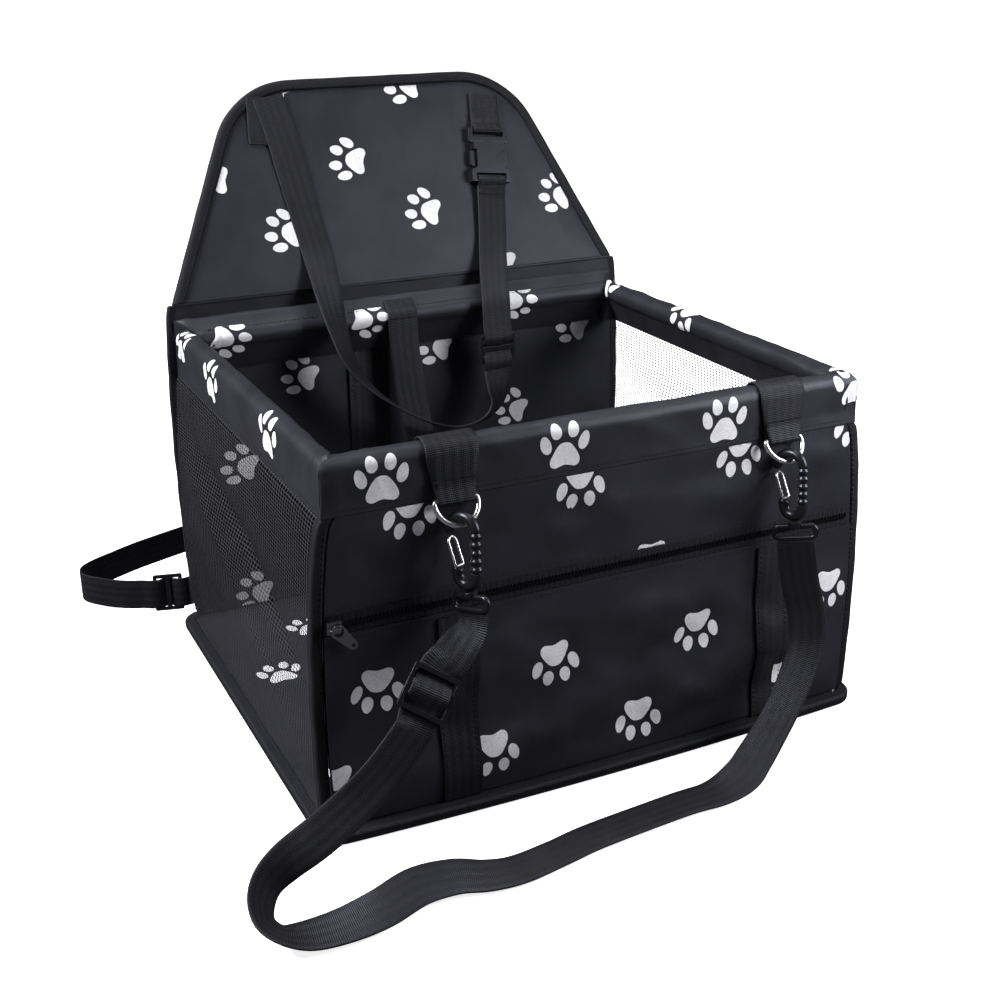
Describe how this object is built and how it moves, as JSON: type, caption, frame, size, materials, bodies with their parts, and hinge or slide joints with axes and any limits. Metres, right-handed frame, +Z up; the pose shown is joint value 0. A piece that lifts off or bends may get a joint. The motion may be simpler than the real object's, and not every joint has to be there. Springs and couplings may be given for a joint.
{
  "type": "dog car seat",
  "caption": "Fabric booster box for a dog in a car: padded head flap, mesh sides, zipped front, headrest strap, and a shoulder lead on snap hooks.",
  "frame": {"origin": "centre of the base's underside, on the surface that the seat stands on", "axes": "+Z up, +X to the right seen from the front, +Y to the back; the front with the zip faces -Y"},
  "size_m": [0.4759, 0.5562, 0.4184],
  "materials": {
    "black_cloth": "coated woven cloth with paw prints",
    "binding_tape": "ribbed woven tape",
    "webbing": "ribbed webbing",
    "mesh_cloth": "open knitted mesh",
    "grey_board": "plain",
    "black_plastic": "satin",
    "grey_pipe": "plain",
    "nickel": "bright plated",
    "dark_metal": "dark plated"
  },
  "bodies": {
    "box": {"base_board": "grey_board", "base_binding": "binding_tape", "base_cover": "black_cloth", "floor_panel": "black_cloth", "front_panel": "black_cloth", "front_pocket": "black_cloth", "pocket_strip_left": "webbing", "pocket_strip_right": "webbing", "zip_tape": "black_cloth", "zip_coil": "black_plastic", "back_panel": "black_cloth", "back_wall_strap": "webbing", "corner_binding_back_left": "binding_tape", "corner_binding_back_right": "binding_tape", "corner_binding_front_left": "binding_tape", "corner_binding_front_right": "binding_tape", "left_mesh": "mesh_cloth", "right_mesh": "mesh_cloth", "rim_tube_front": "grey_pipe", "rim_tube_back": "grey_pipe", "rim_tube_left": "grey_pipe", "rim_tube_right": "grey_pipe", "rim_elbow_back_left": "black_plastic", "rim_elbow_back_right": "black_plastic", "rim_elbow_front_left": "black_plastic", "rim_elbow_front_right": "black_plastic", "sleeve_front": "black_cloth", "sleeve_back": "black_cloth", "sleeve_left": "black_cloth", "sleeve_right": "black_cloth", "ring_loop_left": "webbing", "ring_loop_right": "webbing", "leash_tab": "webbing", "leash_strap": "webbing", "leash_hook": "black_plastic", "lead_strap": "webbing", "waist_strap": "webbing"},
    "flap": {"head_flap": "black_cloth", "head_flap_binding": "binding_tape", "buckle_female": "black_plastic", "buckle_male": "black_plastic", "headrest_tab": "webbing"},
    "prong_left": {"buckle_prong_left": "black_plastic"},
    "prong_right": {"buckle_prong_right": "black_plastic"},
    "headrest": {"headrest_strap": "webbing", "headrest_run": "webbing"},
    "headrest_glide": {"headrest_slider": "black_plastic"},
    "zip_runner": {"zip_slider": "dark_metal"},
    "zip_tab": {"zip_pull": "dark_metal"},
    "left_ring": {"d_ring_left": "nickel", "left_hook_eye": "black_plastic"},
    "right_ring": {"d_ring_right": "nickel", "right_hook_eye": "black_plastic"},
    "left_snap": {"left_hook": "black_plastic"},
    "right_snap": {"right_hook": "black_plastic"},
    "left_gate": {"left_hook_gate": "nickel"},
    "right_gate": {"right_hook_gate": "nickel"},
    "lead_glide": {"lead_slider": "black_plastic"},
    "waist_glide": {"waist_slider": "black_plastic"},
    "leash_gate": {"leash_hook_gate": "nickel"}
  },
  "joints": [
    {"name": "head_flap_fold", "type": "hinge", "parent": "box", "child": "flap", "pos_m": [0, 0.1643, 0.264], "axis": [1, 0, 0], "range_deg": [0, 104], "deforming": ["headrest_strap"]},
    {"name": "headrest_strap_hang", "type": "hinge", "parent": "flap", "child": "headrest", "pos_m": [0.0845, 0.1828, 0.3318], "axis": [1, 0, 0], "range_deg": [-104, 0]},
    {"name": "headrest_slider_slide", "type": "slide", "parent": "headrest", "child": "headrest_glide", "axis": [-0.002, -0.0083, 1], "range_m": [0, 0.03], "deforming": ["headrest_run"]},
    {"name": "buckle_prong_left_press", "type": "hinge", "parent": "flap", "child": "prong_left", "pos_m": [0.07887, 0.19426, 0.36327], "axis": [0, -0.9397, 0.342], "range_deg": [0, 6], "stiffness_Nm_per_rad": 0.3},
    {"name": "buckle_prong_right_press", "type": "hinge", "parent": "flap", "child": "prong_right", "pos_m": [0.09626, 0.19369, 0.3617], "axis": [0, 0.9397, -0.342], "range_deg": [0, 6], "stiffness_Nm_per_rad": 0.3},
    {"name": "zip_slide", "type": "slide", "parent": "box", "child": "zip_runner", "axis": [1, 0, 0], "range_m": [0, 0.352]},
    {"name": "zip_pull_lift", "type": "hinge", "parent": "zip_runner", "child": "zip_tab", "pos_m": [-0.18771, -0.1697, 0.14584], "axis": [0.766, 0, 0.6428], "range_deg": [-40, 0]},
    {"name": "left_ring_lift", "type": "hinge", "parent": "box", "child": "left_ring", "pos_m": [-0.108, -0.1678, 0.2115], "axis": [1, 0, 0], "range_deg": [-40, 0], "deforming": ["lead_strap"]},
    {"name": "left_hook_swivel", "type": "hinge", "parent": "left_ring", "child": "left_snap", "pos_m": [-0.108, -0.18545, 0.15807], "axis": [0, 0.225, 0.9744], "range_deg": [-12, 12]},
    {"name": "left_gate_open", "type": "hinge", "parent": "left_snap", "child": "left_gate", "pos_m": [-0.11045, -0.17724, 0.17313], "axis": [0.8829, 0.4574, -0.1056], "range_deg": [0, 28], "stiffness_Nm_per_rad": 0.02, "springref_deg": -11.46},
    {"name": "right_ring_lift", "type": "hinge", "parent": "box", "child": "right_ring", "pos_m": [0.127, -0.1678, 0.2115], "axis": [1, 0, 0], "range_deg": [-40, 0], "deforming": ["lead_strap"]},
    {"name": "right_hook_swivel", "type": "hinge", "parent": "right_ring", "child": "right_snap", "pos_m": [0.127, -0.18637, 0.15869], "axis": [0, 0.225, 0.9744], "range_deg": [-12, 12]},
    {"name": "right_gate_open", "type": "hinge", "parent": "right_snap", "child": "right_gate", "pos_m": [0.12505, -0.17794, 0.17369], "axis": [0.9272, 0.365, -0.0843], "range_deg": [0, 28], "stiffness_Nm_per_rad": 0.02, "springref_deg": -11.46},
    {"name": "lead_slider_slide", "type": "slide", "parent": "box", "child": "lead_glide", "axis": [-0.5984, -0.2703, -0.7543], "range_m": [-0.015, 0.025], "deforming": ["lead_strap"]},
    {"name": "waist_slider_slide", "type": "slide", "parent": "box", "child": "waist_glide", "axis": [-0.9677, 0.2519, 0], "range_m": [0, 0.03], "deforming": ["waist_strap"]},
    {"name": "leash_gate_open", "type": "hinge", "parent": "box", "child": "leash_gate", "pos_m": [0.05432, -0.01527, 0.0118], "axis": [0, 0, -1], "range_deg": [0, 28], "stiffness_Nm_per_rad": 0.02, "springref_deg": -11.46}
  ],
  "couplings": [
    {"joint": "headrest_strap_hang", "follows": "head_flap_fold", "ratio": -1},
    {"joint": "buckle_prong_right_press", "follows": "buckle_prong_left_press", "ratio": 1}
  ]
}
